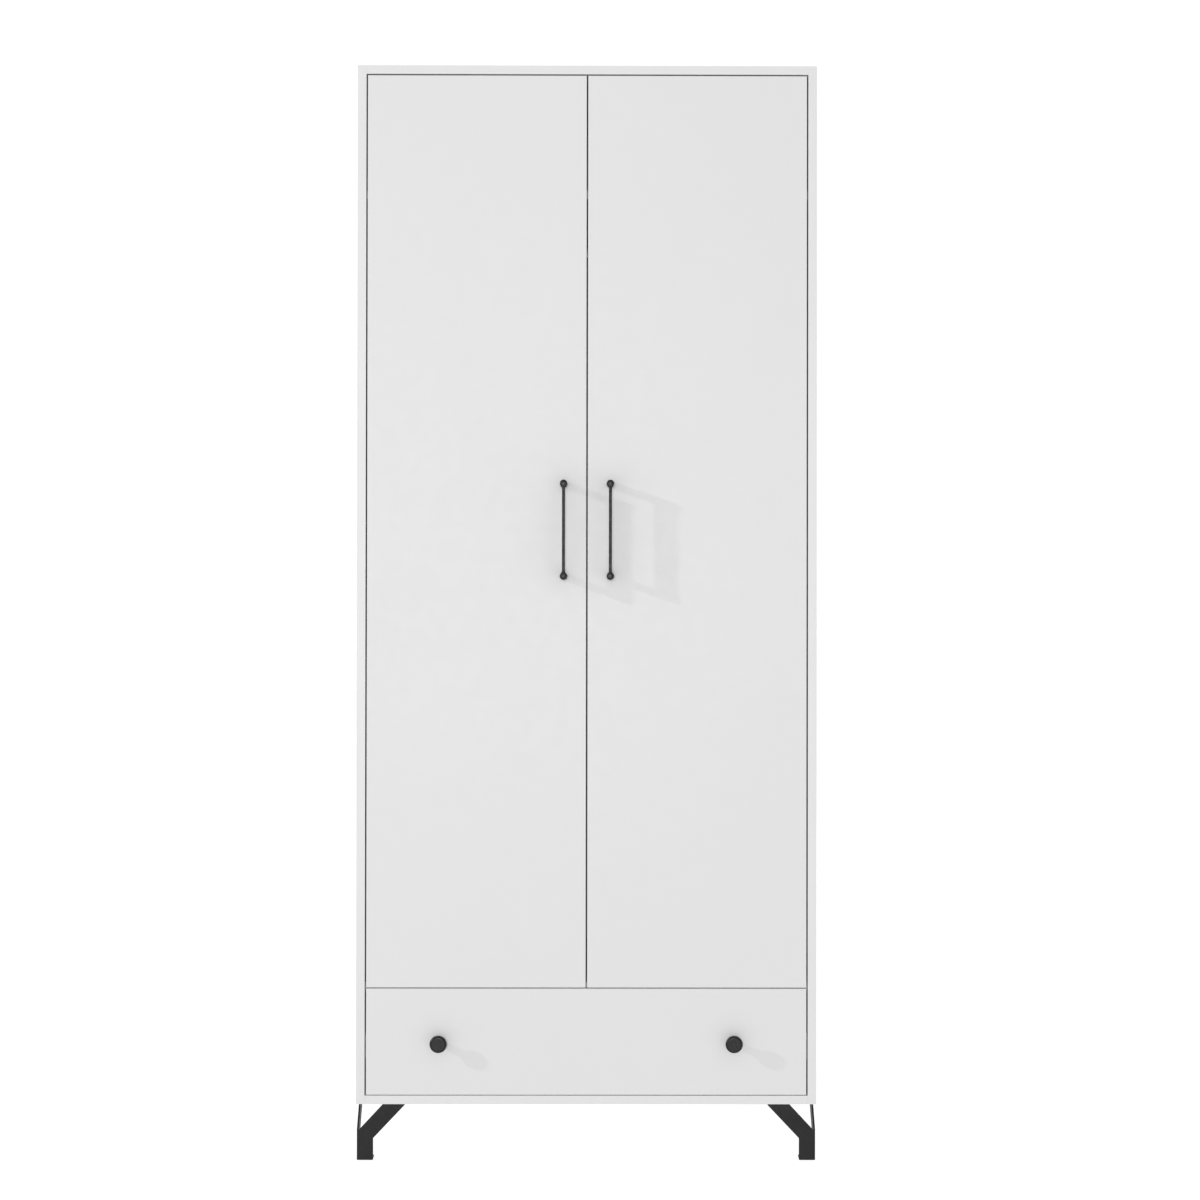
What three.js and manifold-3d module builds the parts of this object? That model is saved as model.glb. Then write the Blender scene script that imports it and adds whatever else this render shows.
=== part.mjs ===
// A free-standing two-door wardrobe with one drawer, on sheet-steel corner legs.
// Millimetres, +Z up. The fronts face -Y and +X is to the right of someone facing them.
// The origin is on the floor, under the middle of the whole object, handles included.

import * as THREE from 'three';
import { mergeVertices } from 'three/addons/utils/BufferGeometryUtils.js';
import Module from 'manifold-3d';

const wasm = await Module();
wasm.setup();

// ---------------------------------------------------------------- driving dimensions

const WIDTH = 800;
const HEIGHT = 1905;
const DEPTH = 520; // carcass with its back, without the handles
const HANDLE_PROJECTION = 35;
const LEG_HEIGHT = 98;

const BOARD = 15; // melamine-faced chipboard
const HARDBOARD = 3;
const STRIP_FLANGE = 1.5;

const SIDE_GAP = 2.5; // between a front and the upright beside it
const MIDDLE_GAP = 2.5; // between the two doors
const TOP_GAP = 2.5; // between the doors and the top panel
const DRAWER_GAP = 1.6; // between the doors and the drawer front
const BOTTOM_GAP = 1.2; // between the drawer front and the bottom panel
const SHELF_SETBACK = 17; // shelf edges behind the face of the fronts
const TOUCH = 0.3; // left between pieces that are shaped round each other

const DRAWER_TOP_LINE = 299.5; // middle of the gap between doors and drawer
const HAT_SPACE = 200; // clear height over the hat shelf

const BOX_DEPTH = 450; // drawer box and its runners
const BOX_BOARD = 12;
const BOX_LOW = 135;
const BOX_HIGH = 255;
const RUNNER_WIDTH = 13;
const RUNNER_Z = 195;

const HANDLE_X = 40.5; // handle to the middle of the wardrobe
const HANDLE_Z = 1095;
const POST_SPACING = 160;
const POST_RADIUS = 6.5;
const GRIP_WIDTH = 5.2;
const GRIP_NEAR = 22.4; // grip's back edge, off the door
const GRIP_FAR = 33.7; // grip's front edge, off the door

const KNOB_X = 256;
const KNOB_Z = 205;
const KNOB_RADIUS = 15;
const KNOB_PROJECTION = 22.5;

const LEG_INSET = 1.5; // leg's outer faces inside the carcass's
const LEG_SHEET = 3;
const LEG_BAND = 28.5; // width of the steel band
const LEG_BEND_Z = 50; // where the outer edge turns inwards
const LEG_SLOPE = 46.5; // degrees above level
const LEG_LIFT = 1; // sheet above the floor

const RAIL_HEIGHT = 30;
const RAIL_WIDTH = 15;
const RAIL_WALL = 1;
const RAIL_DROP = 55; // rail's middle below the hat shelf
const RAIL_Y = 20;

const CUP_RADIUS = 17.5; // bored pocket for a hinge cup
const CUP_DEPTH = 11.2;
const CUP_FROM_EDGE = 22.5;
const HINGE_FROM_END = 100; // hinge to the end of its door
const HINGE_PIN = { in: 20.5, back: 10 }; // pin from the door's outer front corner
const LINK_LENGTH = 15;

// ---------------------------------------------------------------- places worked out from them

const FRONT = -(DEPTH + HANDLE_PROJECTION) / 2 + HANDLE_PROJECTION; // plane of the front faces
const BACK = FRONT + DEPTH;
const BOARD_BACK = BACK - STRIP_FLANGE - HARDBOARD;
const FRONT_REAR = FRONT + BOARD; // back faces of doors and drawer front
const SHELF_FRONT = FRONT + SHELF_SETBACK;

const HALF = WIDTH / 2;
const INNER = HALF - BOARD; // inner faces of the uprights
const DOOR_OUTER = INNER - SIDE_GAP;
const DOOR_INNER = MIDDLE_GAP / 2;
const DOOR_LOW = DRAWER_TOP_LINE + DRAWER_GAP / 2;
const DOOR_HIGH = HEIGHT - BOARD - TOP_GAP;
const DRAWER_LOW = LEG_HEIGHT + BOARD + BOTTOM_GAP;
const DRAWER_HIGH = DRAWER_TOP_LINE - DRAWER_GAP / 2;
const HAT_SHELF_TOP = HEIGHT - BOARD - HAT_SPACE;
const RAIL_Z = HAT_SHELF_TOP - BOARD - RAIL_DROP;
const BOX_BACK = FRONT_REAR + BOX_DEPTH;
const BOX_HALF = INNER - RUNNER_WIDTH;
const HINGE_HEIGHTS = {
  low: DOOR_LOW + HINGE_FROM_END,
  middle: (DOOR_LOW + DOOR_HIGH) / 2,
  high: DOOR_HIGH - HINGE_FROM_END,
};
const SIDES = { left: -1, right: 1 };

// ---------------------------------------------------------------- finishes

const FINISHES = {
  white_board: { color: 0xe3e3e3, roughness: 0.35, metalness: 0 },
  drawer_board: { color: 0xdcdcda, roughness: 0.5, metalness: 0 },
  hardboard: { color: 0xd8d6d0, roughness: 0.6, metalness: 0 },
  black_steel: { color: 0x2a2a2b, roughness: 0.5, metalness: 0.4 },
  black_handle: { color: 0x242425, roughness: 0.42, metalness: 0.4 },
  black_plastic: { color: 0x1f1f20, roughness: 0.6, metalness: 0 },
  white_plastic: { color: 0xdddddb, roughness: 0.45, metalness: 0 },
  chrome: { color: 0xc9cbcd, roughness: 0.15, metalness: 1 },
  zinc_steel: { color: 0xa9abad, roughness: 0.35, metalness: 0.9 },
};

// ---------------------------------------------------------------- geometry helpers

function weld(geometry) {
  const bare = geometry.clone();
  bare.deleteAttribute('normal');
  bare.deleteAttribute('uv');
  return mergeVertices(bare, 1e-4);
}

function toSolid(geometry) {
  const welded = weld(geometry);
  const corners = Array.from(welded.index.array);
  const kept = [];
  for (let i = 0; i < corners.length; i += 3) {
    const [a, b, c] = corners.slice(i, i + 3);
    if (a !== b && b !== c && c !== a) kept.push(a, b, c);
  }
  return new wasm.Manifold(new wasm.Mesh({
    numProp: 3,
    vertProperties: new Float32Array(welded.attributes.position.array),
    triVerts: new Uint32Array(kept),
  }));
}

function toGeometry(solid) {
  const mesh = solid.getMesh();
  const geometry = new THREE.BufferGeometry();
  geometry.setAttribute('position', new THREE.BufferAttribute(new Float32Array(mesh.vertProperties), 3));
  geometry.setIndex(new THREE.BufferAttribute(new Uint32Array(mesh.triVerts), 1));
  geometry.computeVertexNormals();
  return geometry;
}

function joined(...solids) {
  return solids.reduce((whole, next) => whole.add(next));
}

function cut(body, ...tools) {
  return tools.reduce((left, tool) => left.subtract(tool), body);
}

// A box between two corners; each pair may be given in either order.
function block([xa, xb], [ya, yb], [za, zb]) {
  const geometry = new THREE.BoxGeometry(Math.abs(xb - xa), Math.abs(yb - ya), Math.abs(zb - za));
  geometry.translate((xa + xb) / 2, (ya + yb) / 2, (za + zb) / 2);
  return toSolid(geometry);
}

function outline(points) {
  return new THREE.Shape(points.map(([u, v]) => new THREE.Vector2(u, v)));
}

// An outline in plan (x, y), pulled up from z0 to z1.
function upright(points, z0, z1) {
  const geometry = new THREE.ExtrudeGeometry(outline(points), { depth: z1 - z0, bevelEnabled: false });
  geometry.translate(0, 0, z0);
  return toSolid(geometry);
}

// An outline seen from the front (x, z), pulled back from y0 to y1.
function frontal(shape, y0, y1) {
  const geometry = new THREE.ExtrudeGeometry(shape, { depth: y1 - y0, bevelEnabled: false });
  geometry.rotateX(Math.PI / 2);
  geometry.translate(0, y1, 0);
  return toSolid(geometry);
}

// An outline seen from the right (y, z), pulled along x from x0 to x1.
function sideways(shape, x0, x1) {
  const geometry = new THREE.ExtrudeGeometry(shape, {
    depth: x1 - x0, bevelEnabled: false, curveSegments: 10,
  });
  geometry.rotateZ(Math.PI / 2);
  geometry.rotateY(Math.PI / 2);
  geometry.translate(x0, 0, 0);
  return toSolid(geometry);
}

function rod(radius, [x, y, z], length, axis, segments = 24) {
  const geometry = new THREE.CylinderGeometry(radius, radius, length, segments);
  if (axis === 'x') geometry.rotateZ(Math.PI / 2);
  if (axis === 'z') geometry.rotateX(Math.PI / 2);
  geometry.translate(x, y, z);
  return toSolid(geometry);
}

// A turned piece that stands off a front face: profile is [radius, distance off the face].
function turned(profile, [x, y, z], segments) {
  const points = profile.map(([radius, off]) => new THREE.Vector2(radius, off));
  const geometry = new THREE.LatheGeometry(points, segments);
  geometry.rotateX(Math.PI);
  geometry.translate(x, y, z);
  return toSolid(geometry);
}

// ---------------------------------------------------------------- the assembly

const wardrobe = new THREE.Group();

function add(name, solid, finish) {
  const mesh = new THREE.Mesh(toGeometry(solid), new THREE.MeshStandardMaterial(FINISHES[finish]));
  mesh.name = name;
  wardrobe.add(mesh);
}

// ---------------------------------------------------------------- carcass

function addCarcass() {
  for (const [side, sign] of Object.entries(SIDES)) {
    add(
      `side_panel_${side}`,
      block([sign * INNER, sign * HALF], [FRONT, BOARD_BACK], [LEG_HEIGHT, HEIGHT]),
      'white_board',
    );
  }
  const boards = [
    ['top_panel', FRONT, HEIGHT - BOARD],
    ['bottom_panel', FRONT, LEG_HEIGHT],
    ['fixed_shelf', SHELF_FRONT, DRAWER_TOP_LINE - BOARD / 2],
    ['hat_shelf', SHELF_FRONT, HAT_SHELF_TOP - BOARD],
  ];
  for (const [name, front, low] of boards) {
    add(name, block([-INNER, INNER], [front, BOARD_BACK], [low, low + BOARD]), 'white_board');
  }
}

function addBack() {
  const margin = 1;
  const outer = HALF - 2;
  const webHalf = 0.7;
  const flangeHalf = 10;
  const rear = BOARD_BACK + HARDBOARD;
  const span = [LEG_HEIGHT + margin, HEIGHT - margin];
  for (const [side, sign] of Object.entries(SIDES)) {
    add(
      `back_panel_${side}`,
      block([sign * (webHalf + TOUCH), sign * outer], [BOARD_BACK, rear], span),
      'hardboard',
    );
  }
  const strip = joined(
    block([-flangeHalf, flangeHalf], [rear, BACK], span),
    block([-webHalf, webHalf], [BOARD_BACK + TOUCH, rear], span),
  );
  add('back_joint_strip', strip, 'white_plastic');
}

// ---------------------------------------------------------------- hanging rail

function ovalShape(width, height) {
  const radius = width / 2;
  const straight = height / 2 - radius;
  const shape = new THREE.Shape();
  shape.absarc(RAIL_Y, RAIL_Z + straight, radius, 0, Math.PI);
  shape.absarc(RAIL_Y, RAIL_Z - straight, radius, Math.PI, 2 * Math.PI);
  return shape;
}

function oval(width, height, x0, x1) {
  return sideways(ovalShape(width, height), x0, x1);
}

function addHangingRail() {
  const plate = 2.5;
  const sleeve = 14;
  const wall = 2.2;
  const end = INNER - plate - TOUCH;
  const tube = cut(
    oval(RAIL_WIDTH, RAIL_HEIGHT, -end, end),
    oval(RAIL_WIDTH - 2 * RAIL_WALL, RAIL_HEIGHT - 2 * RAIL_WALL, -HALF, HALF),
  );
  add('hanging_rail', tube, 'chrome');
  for (const [side, sign] of Object.entries(SIDES)) {
    const [low, high] = [sign * INNER, sign * (INNER - sleeve)].sort((a, b) => a - b);
    const [bedLow, bedHigh] = [sign * (INNER - plate), sign * (INNER - 2 * sleeve)].sort((a, b) => a - b);
    const grow = 2 * (wall + TOUCH);
    const socket = cut(
      oval(RAIL_WIDTH + grow, RAIL_HEIGHT + grow, low, high),
      oval(RAIL_WIDTH + 2 * TOUCH, RAIL_HEIGHT + 2 * TOUCH, bedLow, bedHigh),
    );
    add(`rail_socket_${side}`, socket, 'chrome');
  }
}

// ---------------------------------------------------------------- legs

// One leg is a steel sheet folded to an angle: a band in the front plane and its twin in the side
// plane, each running up from the foot and then sloping inwards to a screw flange under the carcass.
function addLegs() {
  const slope = Math.tan(THREE.MathUtils.degToRad(LEG_SLOPE));
  const bandLevel = LEG_BAND / Math.sin(THREE.MathUtils.degToRad(LEG_SLOPE));
  const topNear = (LEG_HEIGHT - LEG_BEND_Z) / slope;
  const topFar = topNear + bandLevel;
  const innerBendZ = LEG_HEIGHT - (topFar - LEG_BAND) * slope;
  const band = [
    [0, LEG_LIFT],
    [LEG_BAND, LEG_LIFT],
    [LEG_BAND, innerBendZ],
    [topFar, LEG_HEIGHT],
    [topNear, LEG_HEIGHT],
    [0, LEG_BEND_Z],
  ];
  const flangeReach = 28;
  const flange = [LEG_HEIGHT - LEG_SHEET, LEG_HEIGHT];
  const holeRadius = 2.5;
  const holeSpots = [topNear + 9, topFar - 9];
  const holeReach = 16;
  const ends = { front: [FRONT + LEG_INSET, 1], rear: [BOARD_BACK - LEG_INSET, -1] };

  for (const [end, [startY, inwardY]] of Object.entries(ends)) {
    for (const [side, sign] of Object.entries(SIDES)) {
      const startX = sign * (HALF - LEG_INSET);
      const inwardX = -sign;
      const x = (distance) => startX + inwardX * distance;
      const y = (distance) => startY + inwardY * distance;
      const ordered = (a, b) => [Math.min(a, b), Math.max(a, b)];
      const facing = outline(band.map(([u, z]) => [x(u), z]));
      const flank = outline(band.map(([u, z]) => [y(u), z]));
      const holes = holeSpots.flatMap((spot) => [
        rod(holeRadius, [x(spot), y(holeReach), LEG_HEIGHT], 4 * LEG_SHEET, 'z', 12),
        rod(holeRadius, [x(holeReach), y(spot), LEG_HEIGHT], 4 * LEG_SHEET, 'z', 12),
      ]);
      const leg = joined(
        frontal(facing, ...ordered(y(0), y(LEG_SHEET))),
        sideways(flank, ...ordered(x(0), x(LEG_SHEET))),
        block([x(topNear), x(topFar - LEG_SHEET)], [y(0), y(flangeReach)], flange),
        block([x(0), x(flangeReach)], [y(topNear), y(topFar - LEG_SHEET)], flange),
      );
      add(`leg_${end}_${side}`, cut(leg, ...holes), 'black_steel');
      add(`glide_${end}_${side}`, glide(x, y), 'black_plastic');
    }
  }
}

// The glide is a low chamfered pad that fills the corner of the angle, nearly as wide as the band.
function glide(x, y) {
  const chamfer = 1.5;
  const height = 5.5;
  const near = LEG_SHEET + TOUCH;
  const far = LEG_BAND - 0.5;
  const corner = 4;
  const pad = outline([
    [x(near + chamfer), y(near + chamfer)],
    [x(far - chamfer), y(near + chamfer)],
    [x(far - chamfer), y(far - corner)],
    [x(far - corner), y(far - chamfer)],
    [x(near + chamfer), y(far - chamfer)],
  ]);
  const geometry = new THREE.ExtrudeGeometry(pad, {
    depth: height - 2 * chamfer,
    bevelThickness: chamfer,
    bevelSize: chamfer,
    bevelSegments: 1,
  });
  geometry.translate(0, 0, chamfer);
  return toSolid(geometry);
}

// ---------------------------------------------------------------- doors with their handles

function cupPocket(sign, z) {
  const x = sign * (DOOR_OUTER - CUP_FROM_EDGE);
  return rod(CUP_RADIUS, [x, FRONT_REAR, z], 2 * CUP_DEPTH, 'y', 40);
}

function addDoors() {
  for (const [side, sign] of Object.entries(SIDES)) {
    const pockets = Object.values(HINGE_HEIGHTS).map((z) => cupPocket(sign, z));
    const slab = block([sign * DOOR_INNER, sign * DOOR_OUTER], [FRONT, FRONT_REAR], [DOOR_LOW, DOOR_HIGH]);
    add(`door_${side}`, cut(slab, ...pockets), 'white_board');
    addHandle(side, sign);
  }
}

function addHandle(side, sign) {
  const x = sign * HANDLE_X;
  const ends = { upper: HANDLE_Z + POST_SPACING / 2, lower: HANDLE_Z - POST_SPACING / 2 };
  const dome = 1.2;
  const profile = [
    [0, 0],
    [POST_RADIUS, 0],
    [POST_RADIUS, HANDLE_PROJECTION - dome],
    [POST_RADIUS - dome, HANDLE_PROJECTION - 0.3],
    [0, HANDLE_PROJECTION],
  ];
  const bar = block(
    [x - GRIP_WIDTH / 2, x + GRIP_WIDTH / 2],
    [FRONT - GRIP_FAR, FRONT - GRIP_NEAR],
    [ends.lower, ends.upper],
  );
  const clearances = Object.values(ends).map(
    (z) => rod(POST_RADIUS + TOUCH, [x, FRONT - GRIP_FAR, z], 2 * GRIP_FAR, 'y', 40),
  );
  add(`handle_grip_${side}`, cut(bar, ...clearances), 'black_handle');
  for (const [end, z] of Object.entries(ends)) {
    add(`handle_post_${side}_${end}`, turned(profile, [x, FRONT, z], 40), 'black_handle');
  }
}

// ---------------------------------------------------------------- concealed hinges

// A hinge is drawn in plan from the door's outer front corner: "in" runs towards the middle of the
// wardrobe and "back" runs into it.
function addHinges() {
  for (const [side, sign] of Object.entries(SIDES)) {
    for (const [level, z] of Object.entries(HINGE_HEIGHTS)) {
      const place = ([inwards, back]) => [sign * (DOOR_OUTER - inwards), FRONT + back];
      add(`hinge_cup_${side}_${level}`, hingeCup(sign, z), 'zinc_steel');
      add(`hinge_arm_${side}_${level}`, hingeArm(place, z), 'zinc_steel');
      add(`hinge_link_${side}_${level}`, hingeLink(place, z), 'zinc_steel');
    }
  }
}

function hingeCup(sign, z) {
  const wall = 1.2;
  const flange = 1.2;
  const outer = CUP_RADIUS - TOUCH;
  const floorY = FRONT_REAR - CUP_DEPTH + TOUCH;
  const x = sign * (DOOR_OUTER - CUP_FROM_EDGE);
  const depth = FRONT_REAR + flange - floorY;
  const pot = rod(outer, [x, floorY + depth / 2, z], depth, 'y', 40);
  const hollow = rod(outer - wall, [x, floorY + wall + depth / 2, z], depth, 'y', 40);
  const wingHalfWidth = 9;
  const wingReach = 31;
  const wings = block(
    [x - wingHalfWidth, x + wingHalfWidth],
    [FRONT_REAR, FRONT_REAR + flange],
    [z - wingReach, z + wingReach],
  );
  return cut(joined(pot, wings), hollow);
}

function hingeArm(place, z) {
  const earRadius = 3;
  const armHalf = 7;
  const slotHalf = 4.5;
  const slotBack = HINGE_PIN.back + 5.5;
  const tip = [HINGE_PIN.in - earRadius, HINGE_PIN.in + earRadius];
  const top = 13.5; // arm's face, out from the door's outer edge line
  const foot = 3.6;
  const rear = 84;
  const neck = [
    [tip[0], HINGE_PIN.back],
    [tip[1], HINGE_PIN.back],
    [tip[1], 18.5],
    [top, 30],
    [top, rear],
    [foot, rear],
    [foot, 28],
    [tip[0], 16.5],
  ].map(place);
  const plate = [[-SIDE_GAP, 40], [foot + 1, 40], [foot + 1, 74], [-SIDE_GAP, 74]].map(place);
  const wings = [[-SIDE_GAP, 50], [0.5, 50], [0.5, 64], [-SIDE_GAP, 64]].map(place);
  const [pinX, pinY] = place([HINGE_PIN.in, HINGE_PIN.back]);
  const [slotX0, slotY0] = place([tip[0] - 1, HINGE_PIN.back - 2 * earRadius]);
  const [slotX1, slotY1] = place([tip[1] + 1, slotBack]);
  return cut(
    joined(
      upright(neck, z - armHalf, z + armHalf),
      rod(earRadius, [pinX, pinY, z], 2 * armHalf, 'z', 20),
      upright(plate, z - armHalf, z + armHalf),
      upright(wings, z - 26, z + 26),
    ),
    block([slotX0, slotX1], [slotY0, slotY1], [z - slotHalf, z + slotHalf]),
  );
}

function hingeLink(place, z) {
  const half = 4;
  const pinEye = 2.2;
  const cupEye = 1.6;
  const thick = 2;
  const [x0, y0] = place([HINGE_PIN.in, HINGE_PIN.back]);
  const [x1, y1] = place([HINGE_PIN.in + LINK_LENGTH, HINGE_PIN.back]);
  return joined(
    rod(pinEye, [x0, y0, z], 2 * half, 'z', 20),
    block([x0, x1], [y0 - thick / 2, y0 + thick / 2], [z - half, z + half]),
    rod(cupEye, [x1, y1, z], 2 * half, 'z', 20),
  );
}

// ---------------------------------------------------------------- drawer

function addDrawer() {
  const grooveDepth = 6;
  const groove = [BOX_LOW + 10, BOX_LOW + 10 + HARDBOARD + 0.4];
  const sheet = [groove[0] + 0.2, groove[1] - 0.2];
  const boxInner = BOX_HALF - BOX_BOARD;
  const grooveEdge = boxInner + grooveDepth;
  const slack = 0.5;

  const front = cut(
    block([-DOOR_OUTER, DOOR_OUTER], [FRONT, FRONT_REAR], [DRAWER_LOW, DRAWER_HIGH]),
    block([-grooveEdge, grooveEdge], [FRONT_REAR - grooveDepth, FRONT_REAR + 1], groove),
  );
  add('drawer_front', front, 'white_board');
  for (const [side, sign] of Object.entries(SIDES)) {
    const wall = cut(
      block([sign * boxInner, sign * BOX_HALF], [FRONT_REAR, BOX_BACK], [BOX_LOW, BOX_HIGH]),
      block([sign * (boxInner - 1), sign * grooveEdge], [FRONT_REAR - 1, BOX_BACK + 1], groove),
    );
    add(`drawer_side_${side}`, wall, 'drawer_board');
  }
  add(
    'drawer_back',
    block([-boxInner, boxInner], [BOX_BACK - BOX_BOARD, BOX_BACK], [groove[1], BOX_HIGH]),
    'drawer_board',
  );
  const reach = grooveEdge - slack;
  const base = block([-reach, reach], [FRONT_REAR - grooveDepth + slack, BOX_BACK], sheet);
  add('drawer_bottom', base, 'hardboard');
}

function addKnobs() {
  const baseRadius = 7.5;
  const neckRadius = 6.5;
  const rim = 1.5;
  const headBack = KNOB_PROJECTION - 5;
  const profile = [
    [0, 0],
    [baseRadius, 0],
    [baseRadius, 1],
    [neckRadius, 2.5],
    [neckRadius, headBack - 4.5],
    [neckRadius + 2.5, headBack - 1],
    [KNOB_RADIUS - rim, headBack],
    [KNOB_RADIUS, headBack + rim],
    [KNOB_RADIUS, KNOB_PROJECTION - rim],
    [KNOB_RADIUS - rim, KNOB_PROJECTION],
    [0, KNOB_PROJECTION],
  ];
  for (const [side, sign] of Object.entries(SIDES)) {
    add(`knob_${side}`, turned(profile, [sign * KNOB_X, FRONT, KNOB_Z], 40), 'black_handle');
  }
}

// Each runner is three nested steel channels: one on the carcass, one on the drawer box, and one
// between them that travels half as far as the drawer.
function addRunners() {
  const sheet = 1.2;
  const start = FRONT_REAR + 3;
  const run = [start, FRONT_REAR + BOX_DEPTH];
  const level = (height) => [RUNNER_Z - height, RUNNER_Z + height];
  const lips = (half, [near, far]) => [
    block([near, far], run, [RUNNER_Z + half - sheet, RUNNER_Z + half]),
    block([near, far], run, [RUNNER_Z - half, RUNNER_Z - half + sheet]),
  ];
  for (const [side, sign] of Object.entries(SIDES)) {
    const off = (distance) => sign * (INNER - distance); // distance in from the upright
    const outer = joined(
      block([off(0), off(sheet)], run, level(22.5)),
      ...lips(22.5, [off(0), off(9.5)]),
    );
    const middle = joined(
      block([off(5.2), off(5.2 + sheet)], run, level(18)),
      ...lips(18, [off(2), off(10)]),
    );
    const inner = joined(
      block([off(RUNNER_WIDTH - sheet), off(RUNNER_WIDTH)], run, level(13)),
      ...lips(13, [off(7), off(RUNNER_WIDTH)]),
    );
    add(`runner_outer_${side}`, outer, 'zinc_steel');
    add(`runner_middle_${side}`, middle, 'zinc_steel');
    add(`runner_inner_${side}`, inner, 'zinc_steel');
  }
}

addCarcass();
addBack();
addHangingRail();
addLegs();
addDoors();
addHinges();
addDrawer();
addKnobs();
addRunners();

export default wardrobe;
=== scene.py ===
"""The looks of a white two-door wardrobe with one drawer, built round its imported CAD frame.

Everything is in metres and in the frame's axes: +Z is up, the fronts face -Y, and +X is to the
right of someone who faces them. Each mesh is made in place, with its object at the origin.
"""

import math

import bmesh
import bpy
from mathutils import Euler, Matrix, Vector


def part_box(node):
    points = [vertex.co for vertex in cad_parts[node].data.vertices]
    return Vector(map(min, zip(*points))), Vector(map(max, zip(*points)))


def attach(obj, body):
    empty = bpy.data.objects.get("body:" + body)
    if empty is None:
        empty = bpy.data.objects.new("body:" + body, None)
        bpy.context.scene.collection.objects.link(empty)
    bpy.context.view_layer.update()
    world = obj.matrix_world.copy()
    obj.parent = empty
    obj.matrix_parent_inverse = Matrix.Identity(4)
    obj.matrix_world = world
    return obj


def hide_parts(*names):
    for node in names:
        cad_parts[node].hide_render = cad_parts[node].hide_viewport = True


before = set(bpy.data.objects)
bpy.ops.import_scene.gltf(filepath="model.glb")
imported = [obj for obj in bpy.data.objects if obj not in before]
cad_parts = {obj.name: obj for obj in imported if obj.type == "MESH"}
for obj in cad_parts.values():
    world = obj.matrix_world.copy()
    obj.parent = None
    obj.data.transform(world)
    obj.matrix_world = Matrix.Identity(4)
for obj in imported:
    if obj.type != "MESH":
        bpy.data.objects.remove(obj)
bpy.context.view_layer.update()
scene = bpy.context.scene

MM = 0.001
SIDES = {"left": -1, "right": 1}  # which way along X is outwards
ENDS = {"front": 1, "rear": -1}  # which way along Y is inwards
LEVELS = ("low", "middle", "high")

# ------------------------------------------------------------------ places read from the frame

door_low, door_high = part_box("door_right")
side_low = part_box("side_panel_right")[0]
FRONT = door_low.y  # plane of the front faces
FRONT_REAR = door_high.y  # back faces of the doors and the drawer front
INNER = side_low.x  # inner faces of the uprights, either side of the middle
DOOR_OUTER = door_high.x
UNDERSIDE = side_low.z


def middle_of(node):
    """The middle of a node's box."""
    low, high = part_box(node)
    return (low + high) / 2


# ------------------------------------------------------------------ camera, floor and light

def add_camera():
    """The camera stands nearly square to the fronts, a little under half the wardrobe's height."""
    pitch, roll, yaw = (math.radians(angle) for angle in (0.400, 0.081, -0.296))
    place = (0.0022, FRONT - 4.0, 0.9460)
    data = bpy.data.cameras.new("camera")
    data.lens = 68.98
    camera = bpy.data.objects.new("camera", data)
    turn = Euler((math.pi / 2 + pitch, 0, yaw)).to_matrix() @ Matrix.Rotation(roll, 3, "Z")
    camera.matrix_world = Matrix.Translation(place) @ turn.to_4x4()
    scene.collection.objects.link(camera)
    scene.camera = camera


def seen_or_cast(tree, seen, cast):
    """A strength of light as the studio shows it, and as it falls on the wardrobe."""
    path = tree.nodes.new("ShaderNodeLightPath")
    choose = tree.nodes.new("ShaderNodeMapRange")
    choose.inputs["To Min"].default_value = cast
    choose.inputs["To Max"].default_value = seen
    tree.links.new(path.outputs["Is Camera Ray"], choose.inputs["Value"])
    return choose.outputs["Result"]


def add_floor():
    """A wide pale floor that is bright enough to meet the white surroundings without an edge."""
    reach = 60
    mesh = bpy.data.meshes.new("floor")
    corners = [(-reach, -reach, 0), (reach, -reach, 0), (reach, reach, 0), (-reach, reach, 0)]
    mesh.from_pydata(corners, [], [(0, 1, 2, 3)])
    floor = bpy.data.objects.new("floor", mesh)
    scene.collection.objects.link(floor)
    pale = new_material("pale_floor", (0.3, 0.3, 0.3), roughness=0.9, specular=0.0)
    tree = pale.node_tree
    shader = tree.nodes["Principled BSDF"]
    shader.inputs["Emission Color"].default_value = (1, 1, 1, 1)
    glow = seen_or_cast(tree, seen=0.86, cast=0.72)
    tree.links.new(glow, shader.inputs["Emission Strength"])
    mesh.materials.append(pale)


def add_surroundings():
    """Even white light from all round, seen as pure white behind the wardrobe."""
    world = bpy.data.worlds.new("studio")
    world.use_nodes = True
    scene.world = world
    tree = world.node_tree
    background = tree.nodes["Background"]
    background.inputs["Color"].default_value = (1, 1, 1, 1)
    strength = seen_or_cast(tree, seen=1.05, cast=0.62)
    tree.links.new(strength, background.inputs["Strength"])


def add_area_light(name, place, target, size, power):
    data = bpy.data.lights.new(name, "AREA")
    data.shape = "DISK"
    data.size = size
    data.energy = power
    light = bpy.data.objects.new(name, data)
    light.location = place
    light.rotation_euler = (Vector(target) - Vector(place)).to_track_quat("-Z", "Y").to_euler()
    scene.collection.objects.link(light)


def add_lights():
    """A small hard key high on the left, a soft one far in front, and one behind each side."""
    middle = (0, 0, 1)
    add_area_light("key", (-7.5, FRONT - 2.2, 3.8), (0, FRONT, 1.1), size=0.2, power=200)
    add_area_light("front", (-0.4, FRONT - 8.0, 1.3), middle, size=1.6, power=173)
    add_area_light("back_left", (-5.0, 4.5, 3.0), middle, size=2.6, power=45)
    add_area_light("back_right", (5.0, 4.5, 3.0), middle, size=2.6, power=110)


# ------------------------------------------------------------------ material helpers

NOISE_MIDDLE = (0.35, 0.65)  # where nearly all of a noise's values lie


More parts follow.
